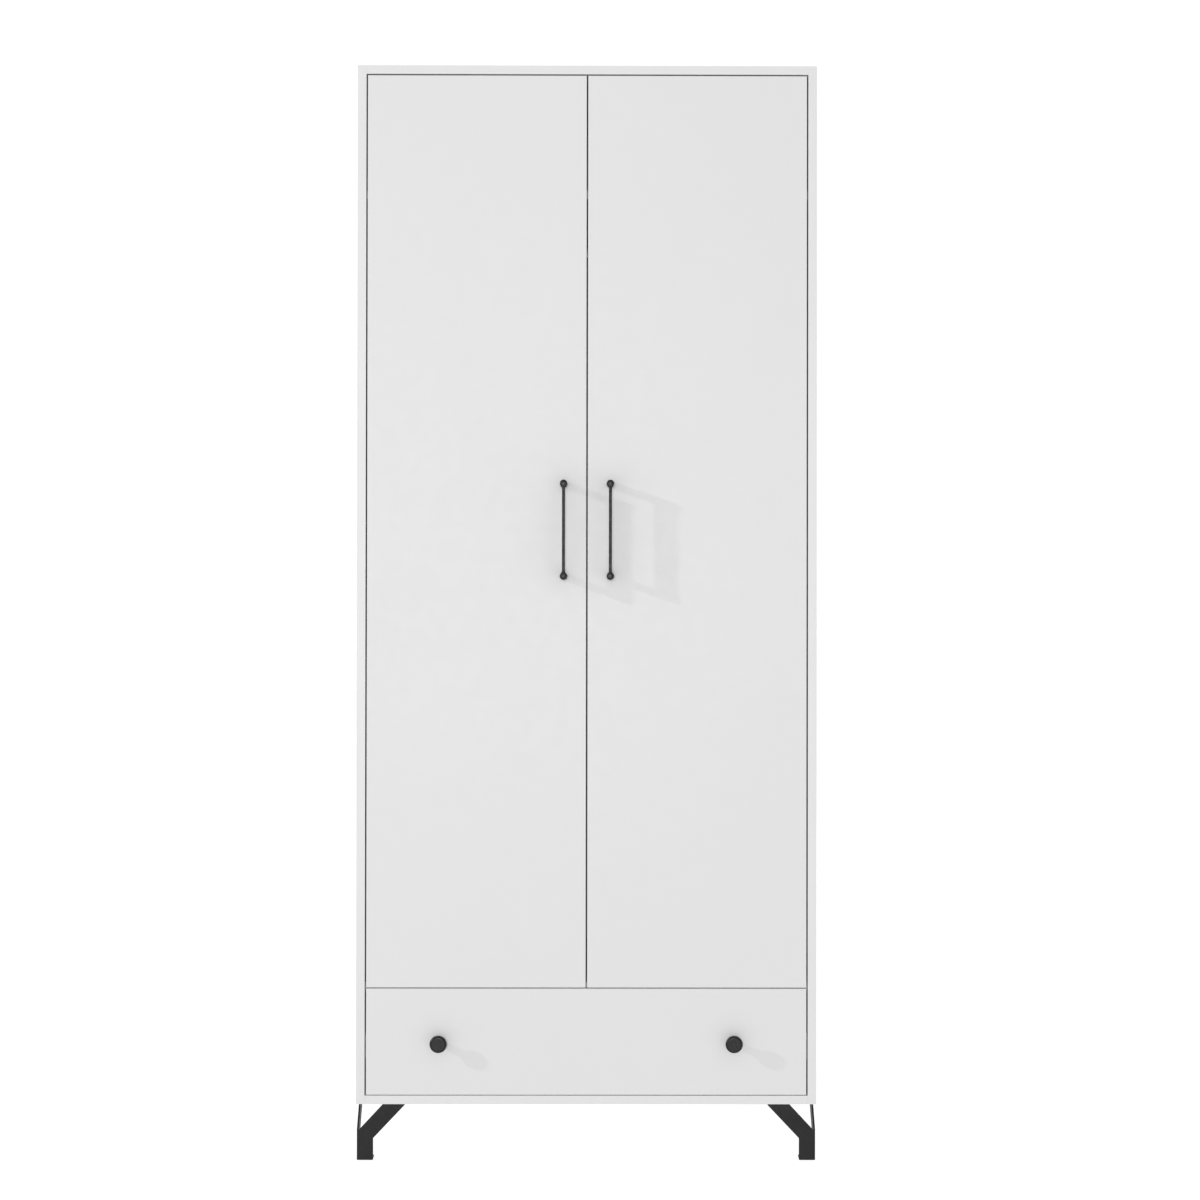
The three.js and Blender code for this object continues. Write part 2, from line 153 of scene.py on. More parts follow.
def new_material(name, color, roughness, metallic=0.0, specular=0.5):
    made = bpy.data.materials.new(name)
    made.use_nodes = True
    shader = made.node_tree.nodes["Principled BSDF"]
    shader.inputs["Base Color"].default_value = (*color, 1)
    shader.inputs["Roughness"].default_value = roughness
    shader.inputs["Metallic"].default_value = metallic
    shader.inputs["Specular IOR Level"].default_value = specular
    return made


def noise(material, per_metre, detail=2.0, stretch=(1, 1, 1)):
    """Noise fixed to the piece, with about this many features a metre."""
    nodes, links = material.node_tree.nodes, material.node_tree.links
    place = nodes.new("ShaderNodeTexCoord")
    scale = nodes.new("ShaderNodeMapping")
    scale.inputs["Scale"].default_value = [per_metre * share for share in stretch]
    texture = nodes.new("ShaderNodeTexNoise")
    texture.inputs["Scale"].default_value = 1.0
    texture.inputs["Detail"].default_value = detail
    links.new(place.outputs["Object"], scale.inputs["Vector"])
    links.new(scale.outputs["Vector"], texture.inputs["Vector"])
    return texture.outputs["Fac"]


def spangle(material, per_metre):
    """Small flat cells, each of its own random value, as on zinc plating."""
    nodes, links = material.node_tree.nodes, material.node_tree.links
    place = nodes.new("ShaderNodeTexCoord")
    cells = nodes.new("ShaderNodeTexVoronoi")
    cells.inputs["Scale"].default_value = per_metre
    links.new(place.outputs["Object"], cells.inputs["Vector"])
    split = nodes.new("ShaderNodeSeparateColor")
    links.new(cells.outputs["Color"], split.inputs["Color"])
    return split.outputs["Red"]


def spread(material, value, low, high, ends=NOISE_MIDDLE):
    """value from ends[0] to ends[1], stretched to run from low to high."""
    nodes, links = material.node_tree.nodes, material.node_tree.links
    stretch = nodes.new("ShaderNodeMapRange")
    stretch.inputs["From Min"].default_value = ends[0]
    stretch.inputs["From Max"].default_value = ends[1]
    stretch.inputs["To Min"].default_value = low
    stretch.inputs["To Max"].default_value = high
    links.new(value, stretch.inputs["Value"])
    return stretch.outputs["Result"]


def mixed(material, share, first, second):
    """Between two colours, or colour outputs, by share from 0 to 1."""
    nodes, links = material.node_tree.nodes, material.node_tree.links
    mix = nodes.new("ShaderNodeMix")
    mix.data_type = "RGBA"
    links.new(share, mix.inputs["Factor"])
    color_a, color_b, result = mix.inputs[6], mix.inputs[7], mix.outputs[2]
    for socket, color in ((color_a, first), (color_b, second)):
        if isinstance(color, tuple):
            socket.default_value = (*color, 1)
        else:
            links.new(color, socket)
    return result


def scaled(color, factor):
    return tuple(part * factor for part in color)


def set_color(material, output):
    shader = material.node_tree.nodes["Principled BSDF"]
    material.node_tree.links.new(output, shader.inputs["Base Color"])


def set_roughness(material, value, low, high, ends=NOISE_MIDDLE):
    shader = material.node_tree.nodes["Principled BSDF"]
    output = spread(material, value, low, high, ends)
    material.node_tree.links.new(output, shader.inputs["Roughness"])


def mottle(material, per_metre, first, second, detail=2.0):
    """Colours the material unevenly, from the first colour to the second."""
    share = spread(material, noise(material, per_metre, detail), 0, 1)
    set_color(material, mixed(material, share, first, second))


def add_bump(material, height, depth, strength=1.0):
    """Relief of this depth in metres, on top of any relief already there."""
    nodes, links = material.node_tree.nodes, material.node_tree.links
    shader = nodes["Principled BSDF"]
    bump = nodes.new("ShaderNodeBump")
    bump.inputs["Distance"].default_value = depth
    bump.inputs["Strength"].default_value = strength
    links.new(height, bump.inputs["Height"])
    if shader.inputs["Normal"].is_linked:
        links.new(shader.inputs["Normal"].links[0].from_socket, bump.inputs["Normal"])
    links.new(bump.outputs["Normal"], shader.inputs["Normal"])


# ------------------------------------------------------------------ materials

def melamine():
    """White melamine: satin, with a faint pearl grain and slow changes of tone."""
    color = (0.665, 0.665, 0.665)
    made = new_material("white_melamine", color, roughness=0.46, specular=0.3)
    mottle(made, 2.5, scaled(color, 0.992), color)
    set_roughness(made, noise(made, 60, 3.0), 0.42, 0.50)
    add_bump(made, noise(made, 700, 3.0), 0.04 * MM, 0.35)
    add_bump(made, noise(made, 9, 1.0), 0.15 * MM, 0.08)
    return made


def edge_band(axis):
    """Plastic edge band in the same white, smoother, with faint drag lines along the board."""
    color = (0.675, 0.675, 0.675)
    drawn = [0.04 if axis == other else 1 for other in "xyz"]
    made = new_material(f"white_edge_band_{axis}", color, roughness=0.4, specular=0.3)
    mottle(made, 14, scaled(color, 0.988), color)
    set_roughness(made, noise(made, 120, 2.0, drawn), 0.37, 0.43)
    add_bump(made, noise(made, 1500, 2.0, drawn), 0.012 * MM, 0.25)
    return made


def foil_board():
    """Matt white foil on the drawer's boards, with a trace of yellow."""
    color = (0.70, 0.70, 0.69)
    made = new_material("white_foil", color, roughness=0.55, specular=0.35)
    mottle(made, 18, scaled(color, 0.97), color, 4.0)
    set_roughness(made, noise(made, 90), 0.48, 0.6)
    add_bump(made, noise(made, 1100, 3.0), 0.05 * MM, 0.4)
    return made


def hardboard(name, outward):
    """Hardboard that is lacquered white, and left brown and fibrous on the side facing outward."""
    white = (0.72, 0.72, 0.71)
    dark, light = (0.235, 0.140, 0.078), (0.33, 0.205, 0.118)
    made = new_material(name, white, roughness=0.5, specular=0.35)
    nodes, links = made.node_tree.nodes, made.node_tree.links
    fibres = noise(made, 420, 5.0)
    blotches = noise(made, 11, 4.0)
    raw = mixed(made, spread(made, fibres, 0, 1), dark, light)
    raw = mixed(made, spread(made, blotches, 0, 0.3), raw, scaled(light, 1.12))
    facing = nodes.new("ShaderNodeVectorMath")
    facing.operation = "DOT_PRODUCT"
    facing.inputs[1].default_value = outward
    links.new(nodes.new("ShaderNodeNewGeometry").outputs["True Normal"], facing.inputs[0])
    is_raw = spread(made, facing.outputs["Value"], 0, 1, (-0.2, -0.1))
    coated = mixed(made, spread(made, noise(made, 30, 3.0), 0, 1), scaled(white, 0.97), white)
    set_color(made, mixed(made, is_raw, coated, raw))
    set_roughness(made, is_raw, 0.42, 0.78, (0, 1))
    add_bump(made, fibres, 0.12 * MM, 0.5)
    return made


def powder_coat():
    """Fine-textured matt black powder coat on steel."""
    color = (0.008, 0.008, 0.0084)
    made = new_material("black_powder_coat", color, roughness=0.52, specular=0.26)
    mottle(made, 25, color, scaled(color, 1.5), 3.0)
    set_roughness(made, noise(made, 400, 2.0), 0.44, 0.58)
    add_bump(made, noise(made, 1400, 3.0), 0.09 * MM, 0.6)
    return made


def satin_black(name, color, specular):
    """Smooth satin black coat on cast metal."""
    made = new_material(name, color, roughness=0.32, specular=specular)
    mottle(made, 70, color, scaled(color, 1.4), 3.0)
    set_roughness(made, noise(made, 220, 3.0), 0.27, 0.37)
    add_bump(made, noise(made, 900, 2.0), 0.02 * MM, 0.35)
    return made


def plastic(name, color, roughness):
    """Moulded plastic with a fine spark-eroded grain."""
    made = new_material(name, color, roughness, specular=0.4)
    mottle(made, 90, scaled(color, 0.94), color)
    set_roughness(made, noise(made, 500), roughness - 0.05, roughness + 0.06)
    add_bump(made, noise(made, 2600, 2.0), 0.03 * MM, 0.5)
    return made


def chrome(name, smoothest, dullest):
    """Chrome plate whose roughness wanders between the two values."""
    color = (0.78, 0.79, 0.80)
    made = new_material(name, color, smoothest, metallic=1.0)
    mottle(made, 20, scaled(color, 0.96), color, 3.0)
    set_roughness(made, noise(made, 35, 5.0), smoothest, dullest)
    add_bump(made, noise(made, 60, 1.0), 0.02 * MM, 0.2)
    return made


def nickel():
    """Nickel-plated pressed steel, faintly drawn along its length."""
    color = (0.62, 0.60, 0.565)
    made = new_material("nickel_plate", color, roughness=0.26, metallic=1.0)
    mottle(made, 150, scaled(color, 0.95), color, 3.0)
    set_roughness(made, noise(made, 900, 3.0, (1, 0.1, 1)), 0.24, 0.32)
    add_bump(made, noise(made, 2500, 2.0, (1, 0.05, 1)), 0.004 * MM, 0.2)
    return made


def zinc():
    """Zinc-plated steel with a soft spangle."""
    color = (0.56, 0.575, 0.59)
    made = new_material("zinc_plate", color, roughness=0.36, metallic=1.0)
    cells = spangle(made, 420)
    set_color(made, mixed(made, cells, scaled(color, 0.86), color))
    set_roughness(made, cells, 0.3, 0.44, (0, 1))
    add_bump(made, noise(made, 1500, 3.0), 0.02 * MM, 0.4)
    return made


def make_finishes():
    """Each finish by name: the record's slot that it belongs to, and its material."""
    knob_black = satin_black("knob_black", (0.007, 0.007, 0.0074), 0.33)
    return {
        "melamine": ("white_board", melamine()),
        "edge_band_x": ("white_board", edge_band("x")),
        "edge_band_y": ("white_board", edge_band("y")),
        "edge_band_z": ("white_board", edge_band("z")),
        "foil_board": ("drawer_board", foil_board()),
        "back_hardboard": ("hardboard", hardboard("back_hardboard", (0, 1, 0))),
        "drawer_hardboard": ("hardboard", hardboard("drawer_hardboard", (0, 0, -1))),
        "powder_coat": ("black_steel", powder_coat()),
        "leg_screw_black": ("black_steel", knob_black),
        "knob_black": ("black_handle", knob_black),
        "bar_black": ("black_handle", satin_black("handle_black", (0.006, 0.006, 0.0063), 0.11)),
        "black_plastic": ("black_plastic", plastic("black_plastic", (0.022, 0.022, 0.023), 0.5)),
        "white_plastic": ("white_plastic", plastic("white_plastic", (0.72, 0.72, 0.71), 0.42)),
        "bright_chrome": ("chrome_fittings", chrome("bright_chrome", 0.08, 0.16)),
        "satin_chrome": ("chrome_fittings", chrome("satin_chrome", 0.3, 0.38)),
        "nickel": ("nickel_steel", nickel()),
        "zinc": ("zinc_steel", zinc()),
    }


FINISHES = make_finishes()

# ------------------------------------------------------------------ outlines

def arc(centre, radius, start, stop, steps):
    """Points on a circle in a plane, angles in degrees, both ends included."""
    angles = [math.radians(start + (stop - start) * i / steps) for i in range(steps + 1)]
    return [(centre[0] + radius * math.cos(a), centre[1] + radius * math.sin(a)) for a in angles]


def rectangle(low, high):
    return [(low[0], low[1]), (high[0], low[1]), (high[0], high[1]), (low[0], high[1])]


def centred_rectangle(centre, half_width, half_height):
    low = (centre[0] - half_width, centre[1] - half_height)
    return rectangle(low, (centre[0] + half_width, centre[1] + half_height))


def rounded(outline, radius, steps=5):
    """The outline with each corner rounded off, by less where its edges are short."""
    made = []
    count = len(outline)
    for i, corner in enumerate(Vector(point) for point in outline):
        before = Vector(outline[i - 1]) - corner
        after = Vector(outline[(i + 1) % count]) - corner
        half = before.angle(after) / 2
        reach = min(radius / math.tan(half), before.length * 0.45, after.length * 0.45)
        start = corner + before.normalized() * reach
        stop = corner + after.normalized() * reach
        for step in range(steps + 1):
            t = step / steps
            made.append(tuple(start.lerp(corner, t).lerp(corner.lerp(stop, t), t)))
    return made


def oval(centre, width, height, steps=16):
    """An upright oval: two half circles and straight sides."""
    radius = width / 2
    lift = height / 2 - radius
    top = arc((centre[0], centre[1] + lift), radius, 0, 180, steps)
    return top + arc((centre[0], centre[1] - lift), radius, 180, 360, steps)


# ------------------------------------------------------------------ solids

def placer(axis):
    """Turns two outline coordinates and a distance along axis into a point."""
    return {
        "x": lambda a, b, along: (along, a, b),
        "y": lambda a, b, along: (a, along, b),
        "z": lambda a, b, along: (a, b, along),
    }[axis]


def ring_walls(bm, first, second):
    count = len(first)
    for i in range(count):
        j = (i + 1) % count
        bm.faces.new((first[i], first[j], second[j], second[i]))


def add_prism(bm, outline, axis, start, stop):
    """An outline in the plane across axis, pulled along it from start to stop."""
    place = placer(axis)
    low = [bm.verts.new(place(a, b, start)) for a, b in outline]
    high = [bm.verts.new(place(a, b, stop)) for a, b in outline]
    bm.faces.new(low)
    bm.faces.new(high)
    ring_walls(bm, low, high)


def add_sleeve(bm, outer, inner, axis, start, stop):
    """As add_prism, with a hole right through; both outlines have as many points."""
    place = placer(axis)
    rings = [
        [bm.verts.new(place(a, b, along)) for a, b in outline]
        for outline, along in ((outer, start), (outer, stop), (inner, stop), (inner, start))
    ]
    for i, ring in enumerate(rings):
        ring_walls(bm, ring, rings[(i + 1) % len(rings)])


def add_box(bm, low, high):
    xs, ys, zs = (sorted(pair) for pair in zip(low, high))
    add_prism(bm, rectangle((xs[0], ys[0]), (xs[1], ys[1])), "z", *zs)


def round_radius(_, radius):
    return radius


def cross_radius(turn, radius):
    """A cross-slot's outline: full radius in four narrow arms, and a small part of it between."""
    quarter = (turn * 4) % 1
    return radius if min(quarter, 1 - quarter) < 0.17 else radius * 0.36


def turned_ring(bm, middle, across, other, radius, shape, segments):
    """A ring of points round middle, in the plane of across and other."""
    ring = []
    for i in range(segments):
        turn = i / segments
        angle = 2 * math.pi * turn
        outward = across * math.cos(angle) + other * math.sin(angle)
        ring.append(bm.verts.new(middle + outward * shape(turn, radius)))
    return ring


def add_turned(bm, profile, centre, axis, segments=64):
    """A turned solid. profile runs from axis to axis as (radius, distance along axis), and may
    name a shape for a ring that isn't round."""
    along = Vector(axis).normalized()
    across = along.orthogonal().normalized()
    other = along.cross(across)
    rings = []
    for radius, distance, *shape in profile:
        middle = Vector(centre) + along * distance
        if radius == 0:
            rings.append([bm.verts.new(middle)])
        else:
            shape_of = shape[0] if shape else round_radius
            rings.append(turned_ring(bm, middle, across, other, radius, shape_of, segments))
    for first, second in zip(rings, rings[1:]):
        if len(first) == len(second):
            ring_walls(bm, first, second)
            continue
        tip, ring = (first[0], second) if len(first) == 1 else (second[0], first)
        for i in range(len(ring)):
            bm.faces.new((tip, ring[i], ring[(i + 1) % len(ring)]))


def add_pin(bm, radius, start, stop, centre, axis, segments=64):
    """A plain cylinder round axis, from start to stop along it."""
    profile = [(0, start), (radius, start), (radius, stop), (0, stop)]
    add_turned(bm, profile, centre, axis, segments)


SCREW = 3.4 * MM  # radius of an ordinary screw's head
WIDE_SCREW = 4 * MM  # and of one that holds a leg, a handle or a knob


def add_screw(bm, centre, axis, radius=SCREW):
    """A pan-head screw's head with a cross slot, standing on centre and facing along axis."""
    height = 0.55 * radius
    profile = [
        (0, 0),
        (radius, 0),
        (radius, 0.35 * height),
        (0.93 * radius, 0.68 * height),
        (0.78 * radius, 0.9 * height),
        (0.6 * radius, height),
        (0.5 * radius, height, cross_radius),
        (0.36 * radius, 0.45 * height, cross_radius),
        (0, 0.3 * height),
    ]
    add_turned(bm, profile, centre, axis, 24)


def add_cam_cover(bm, centre, axis):
    """A cam fitting's plastic cover: a thin domed disc with a cross slot."""
    radius = 8.5 * MM
    lift = 0.9 * MM
    profile = [
        (0, 0),
        (radius, 0),
        (radius, 0.3 * lift),
        (0.94 * radius, 0.7 * lift),
        (0.8 * radius, lift),
        (0.5 * radius, lift),
        (0.38 * radius, lift, cross_radius),
        (0.34 * radius, 0.2 * lift, cross_radius),
        (0, 0.15 * lift),
    ]
    add_turned(bm, profile, centre, axis, 48)


# ------------------------------------------------------------------ pieces

def add_bevel(piece, width):
    """Rounds every edge at which the surface turns by more than 35 degrees."""
    bevel = piece.modifiers.new("soft_edges", "BEVEL")
    bevel.width = width
    bevel.segments = 3
    bevel.limit_method = "ANGLE"
    bevel.angle_limit = math.radians(35)


def new_piece(name, bm, body, finish, soften=0, stands_for=()):
    """Makes a piece from bm that rides on a body. Its edges are softened by the width given, and
    it takes the place of the CAD nodes that it stands for."""
    slot, material = FINISHES[finish]
    bmesh.ops.recalc_face_normals(bm, faces=bm.faces)
    for face in bm.faces:
        face.smooth = True
    mesh = bpy.data.meshes.new(name)
    bm.to_mesh(mesh)
    bm.free()
    mesh.materials.append(material)
    piece = bpy.data.objects.new(name, mesh)
    scene.collection.objects.link(piece)
    if soften:
        add_bevel(piece, soften)
        piece.modifiers.new("even_shading", "WEIGHTED_NORMAL").keep_sharp = False
    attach(piece, body)
    if stands_for:
        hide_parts(*stands_for)


def dress_cad(node, finish, soften):
    """Gives a CAD node that is shown as it is its material, and softens its edges."""
    _, material = FINISHES[finish]
    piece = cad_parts[node]
    piece.data.materials.clear()
    piece.data.materials.append(material)
    piece.modifiers.new("weld", "WELD").merge_threshold = 0.002 * MM
    flatten = piece.modifiers.new("flatten", "DECIMATE")
    flatten.decimate_type = "DISSOLVE"
    flatten.angle_limit = math.radians(1)
    add_bevel(piece, soften)


def carve(bm, cutter):
    """bm with cutter's volume taken away, as a new bmesh."""
    scratch = []
    for part in (bm, cutter):
        bmesh.ops.recalc_face_normals(part, faces=part.faces)
        mesh = bpy.data.meshes.new("carving")
        part.to_mesh(mesh)
        part.free()
        piece = bpy.data.objects.new("carving", mesh)
        scene.collection.objects.link(piece)
        scratch.append(piece)
    cut = scratch[0].modifiers.new("cut", "BOOLEAN")
    cut.operation = "DIFFERENCE"
    cut.solver = "EXACT"
    cut.object = scratch[1]
    bpy.context.view_layer.update()
    done = scratch[0].evaluated_get(bpy.context.evaluated_depsgraph_get())
    carved = bmesh.new()
    carved.from_mesh(done.to_mesh())
    done.to_mesh_clear()
    for piece in scratch:
        mesh = piece.data
        bpy.data.objects.remove(piece)
        bpy.data.meshes.remove(mesh)
    return carved


# ------------------------------------------------------------------ boards with edge bands

BAND = 0.8 * MM


def add_board(node, body, banded, cutter=None):
    """A melamine board in the place of a CAD node, with a strip of edge band on each edge named
    in banded, such as "-y". The first bands run full length and later ones stop against them."""
    low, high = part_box(node)
    for number, edge in enumerate(banded):
        axis = "xyz".index(edge[1])
        strip_low, strip_high = low.copy(), high.copy()
        if edge[0] == "-":
            low[axis] += BAND
            strip_high[axis] = low[axis]
        else:
            high[axis] -= BAND
            strip_low[axis] = high[axis]
        bm = bmesh.new()
        add_box(bm, strip_low, strip_high)
        extent = strip_high - strip_low
        longest = max("xyz", key=lambda name: extent["xyz".index(name)])
        new_piece(f"{node}_band_{number}", bm, body, f"edge_band_{longest}", 0.3 * MM)
    bm = bmesh.new()
    add_box(bm, low, high)
    if cutter:
        bm = carve(bm, cutter)
    new_piece(f"{node}_board", bm, body, "melamine", 0.12 * MM, (node,))


def add_carcass():
    for side in SIDES:
        add_board(f"side_panel_{side}", "carcass", ("-y", "+z", "-z"))
    for node in ("top_panel", "bottom_panel", "fixed_shelf", "hat_shelf"):
        add_board(node, "carcass", ("-y",))
    add_cam_covers()


def add_cam_covers():
    """Four covered cam fittings in the underside of each board that runs between the uprights."""
    from_end, from_edge = 34 * MM, 110 * MM
    for node in ("top_panel", "hat_shelf", "fixed_shelf", "bottom_panel"):
        low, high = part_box(node)
        bm = bmesh.new()
        for sign in SIDES.values():
            for y in (low.y + from_edge, high.y - from_edge):
                add_cam_cover(bm, (sign * (INNER - from_end), y, low.z), (0, 0, -1))
        new_piece(f"{node}_cam_covers", bm, "carcass", "white_plastic")


# ------------------------------------------------------------------ back

def add_back():
    for side in SIDES:
        dress_cad(f"back_panel_{side}", "back_hardboard", 0.25 * MM)
    dress_cad("back_joint_strip", "white_plastic", 0.3 * MM)
    add_back_nails()


def nail_spots():
    """Where the nails are, across the back: along each board, and up both sides between them."""
    spacing, from_edge, clear_of_joint = 95 * MM, 6.5 * MM, 20 * MM
    outer = -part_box("back_panel_left")[0].x - from_edge
    boards = ("bottom_panel", "fixed_shelf", "hat_shelf", "top_panel")
    levels = [middle_of(node).z for node in boards]
    across = round(2 * outer / spacing)
    row = [outer * (2 * i / across - 1) for i in range(across + 1)]
    spots = [(x, z) for z in levels for x in row if abs(x) > clear_of_joint]
    bottom, top = levels[0], levels[-1]
    up = round((top - bottom) / spacing)
    for i in range(1, up):
        z = bottom + (top - bottom) * i / up
        spots += [(-outer, z), (outer, z)]
    return spots


def add_back_nails():
    """Round-headed nails that hold the back to the carcass."""
    radius, lift = 2.1 * MM, 0.55 * MM
    rim = [(radius, 0), (0.96 * radius, 0.4 * lift), (0.7 * radius, 0.85 * lift)]
    profile = [(0, 0), *rim, (0, lift)]
    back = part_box("back_panel_left")[1].y
    bm = bmesh.new()
    for x, z in nail_spots():
        add_turned(bm, profile, (x, back, z), (0, 1, 0), 16)
    new_piece("back_nails", bm, "carcass", "zinc")


# ------------------------------------------------------------------ hanging rail

def add_hanging_rail():
    low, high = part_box("hanging_rail")
    centre = ((low.y + high.y) / 2, (low.z + high.z) / 2)
    width, height = high.y - low.y, high.z - low.z
    wall = 1 * MM
    bm = bmesh.new()
    hole = oval(centre, width - 2 * wall, height - 2 * wall)
    add_sleeve(bm, oval(centre, width, height), hole, "x", low.x, high.x)
    replaced = ("hanging_rail",)
    new_piece("hanging_rail_tube", bm, "carcass", "satin_chrome", 0.2 * MM, replaced)
    for side, sign in SIDES.items():
        add_rail_socket(side, sign, centre, width, height)


def add_rail_socket(side, sign, centre, rail_width, rail_height):
    """A cup that the rail's end sits in, on a plate with a screw above and below the rail."""
    name = f"rail_socket_{side}"
    plate, sleeve, wall, slack = 2.2 * MM, 14 * MM, 2.2 * MM, 0.3 * MM
    plate_height, screw_rise = 66 * MM, 25 * MM
    face = sign * (INNER - plate)
    outer_width = rail_width + 2 * (slack + wall)
    inner = oval(centre, rail_width + 2 * slack, rail_height + 2 * slack)
    outer = oval(centre, outer_width, rail_height + 2 * (slack + wall))
    bm = bmesh.new()
    add_sleeve(bm, outer, inner, "x", face, sign * (INNER - sleeve))
    add_prism(bm, oval(centre, outer_width, plate_height), "x", sign * INNER, face)
    new_piece(f"{name}_cup", bm, "carcass", "bright_chrome", 0.5 * MM, (name,))
    bm = bmesh.new()
    for rise in (-screw_rise, screw_rise):
        add_screw(bm, (face, centre[0], centre[1] + rise), (-sign, 0, 0))
    new_piece(f"{name}_screws", bm, "carcass", "zinc")


# ------------------------------------------------------------------ legs

LEG_SHEET = 3 * MM
LEG_BAND = 28.5 * MM
LEG_BEND_Z = 50 * MM
LEG_SLOPE = math.radians(46.5)
FOLD_RADIUS = 3.4 * MM  # outside of the fold at the corner


def leg_levels():
    """Distances along the band: near and far edge at the top, and the height of the inner bend."""
    near = (UNDERSIDE - LEG_BEND_Z) / math.tan(LEG_SLOPE)
    far = near + LEG_BAND / math.sin(LEG_SLOPE)
    return near, far, UNDERSIDE - (far - LEG_BAND) * math.tan(LEG_SLOPE)


def leg_blank(lift, fold):
    """The leg's flat blank, either side of its upright middle line. fold is half the length of
    the strip along that line that ends up in the fold."""
    near, far, bend = leg_levels()
    band, start, stop = (reach - FOLD_RADIUS + fold for reach in (LEG_BAND, near, far))
    half = [(band, lift), (band, bend), (stop, UNDERSIDE), (start, UNDERSIDE)]
    mirrored = [(-along, z) for along, z in reversed(half)]
    return rounded(half + [(0, LEG_BEND_Z)] + mirrored, 1.6 * MM, 4)


def folded(along, depth, fold):
    """A point of the blank, as distances from the leg's outer corner once the blank is folded."""
    if abs(along) >= fold:
        reach = abs(along) - fold + FOLD_RADIUS
        return (reach, depth) if along > 0 else (depth, reach)
    angle = math.pi + (along + fold) / (2 * fold) * math.pi / 2
    radius = FOLD_RADIUS - depth
    return FOLD_RADIUS + radius * math.cos(angle), FOLD_RADIUS + radius * math.sin(angle)


def add_folded_sheet(bm, lift, spot):
    """The leg's blank, given its thickness and folded into an angle."""
    fold = FOLD_RADIUS * math.pi / 4
    cuts = 8
    bm.faces.new([bm.verts.new((along, 0, z)) for along, z in leg_blank(lift, fold)])
    for i in range(cuts + 1):
        where = fold * (2 * i / cuts - 1)
        geometry = bm.verts[:] + bm.edges[:] + bm.faces[:]
        bmesh.ops.bisect_plane(bm, geom=geometry, plane_co=(where, 0, 0), plane_no=(1, 0, 0))
    bmesh.ops.remove_doubles(bm, verts=bm.verts[:], dist=0.02 * MM)
    pulled = bmesh.ops.extrude_face_region(bm, geom=bm.faces[:])
    for vert in (v for v in pulled["geom"] if isinstance(v, bmesh.types.BMVert)):
        vert.co.y = LEG_SHEET
    for vert in bm.verts:
        along, depth, z = vert.co
        vert.co = (*spot(*folded(along, depth, fold)), z)


def corner_spot(low, high, sign, inward):
    """A function from distances inwards along X and Y from a leg's outer corner to a place."""
    corner_x = high.x if sign > 0 else low.x
    corner_y = low.y if inward > 0 else high.y

    def spot(from_side, from_end):
        return corner_x - sign * from_side, corner_y + inward * from_end

    return spot


def add_leg(name, spot, lift):
    """A folded sheet with a flange on top of each band, and two screws up through each flange."""
    near, far, _ = leg_levels()
    flange_low = UNDERSIDE - LEG_SHEET
    flange_reach, flange_inset, flange_trim = 28 * MM, LEG_SHEET - 0.2 * MM, 3 * MM
    bm = bmesh.new()
    add_folded_sheet(bm, lift, spot)
    plan = rectangle((near, flange_inset), (far - flange_trim, flange_reach))
    plan = rounded(plan, 4 * MM)
    add_prism(bm, [spot(u, v) for u, v in plan], "z", flange_low, UNDERSIDE)
    add_prism(bm, [spot(v, u) for u, v in plan], "z", flange_low, UNDERSIDE)
    new_piece(f"{name}_sheet", bm, "carcass", "powder_coat", 0.35 * MM, (name,))
    across, past_near, short_of_far = 17 * MM, 9 * MM, 12 * MM
    bm = bmesh.new()
    for along in (near + past_near, far - short_of_far):
        for x, y in (spot(along, across), spot(across, along)):
            add_screw(bm, (x, y, flange_low), (0, 0, -1), WIDE_SCREW)
    new_piece(f"{name}_screws", bm, "carcass", "leg_screw_black")


def add_legs():
    for end, inward in ENDS.items():
        for side, sign in SIDES.items():
            name = f"leg_{end}_{side}"
            low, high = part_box(name)
            add_leg(name, corner_spot(low, high, sign, inward), low.z)
            dress_cad(f"glide_{end}_{side}", "black_plastic", 0.5 * MM)


# ------------------------------------------------------------------ doors

CUP_POCKET_RADIUS = 17.5 * MM
CUP_POCKET_DEPTH = 11.2 * MM
CUP_FROM_EDGE = 22.5 * MM


def hinge_heights(side):
    return {level: middle_of(f"hinge_cup_{side}_{level}").z for level in LEVELS}


def add_doors():
    for side, sign in SIDES.items():
        heights = hinge_heights(side)
        pockets = bmesh.new()
        for z in heights.values():
            centre = (sign * (DOOR_OUTER - CUP_FROM_EDGE), FRONT_REAR, z)
            ends = (-CUP_POCKET_DEPTH, CUP_POCKET_DEPTH)
            add_pin(pockets, CUP_POCKET_RADIUS, *ends, centre, (0, 1, 0))
        add_board(f"door_{side}", f"door_{side}", ("-x", "+x", "-z", "+z"), pockets)
        add_handle(side)
        add_bumpers(side, sign)
        for level, z in heights.items():
            add_hinge(side, sign, level, z)


def add_handle(side):
    """A flat bar between two round posts, and the screws that hold the posts."""
    low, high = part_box(f"handle_grip_{side}")
    x = (low.x + high.x) / 2
    heights = {end: middle_of(f"handle_post_{side}_{end}").z for end in ("lower", "upper")}
    post_low, post_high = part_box(f"handle_post_{side}_lower")
    radius = (post_high.x - post_low.x) / 2
    for end, z in heights.items():
        add_post(side, end, (x, FRONT, z), radius, FRONT - post_low.y)
    add_bar(side, x, (low.y, high.y), tuple(heights.values()), radius)
    bm = bmesh.new()
    for z in heights.values():
        add_screw(bm, (x, FRONT_REAR, z), (0, 1, 0), WIDE_SCREW)
    new_piece(f"handle_{side}_screws", bm, f"door_{side}", "zinc")


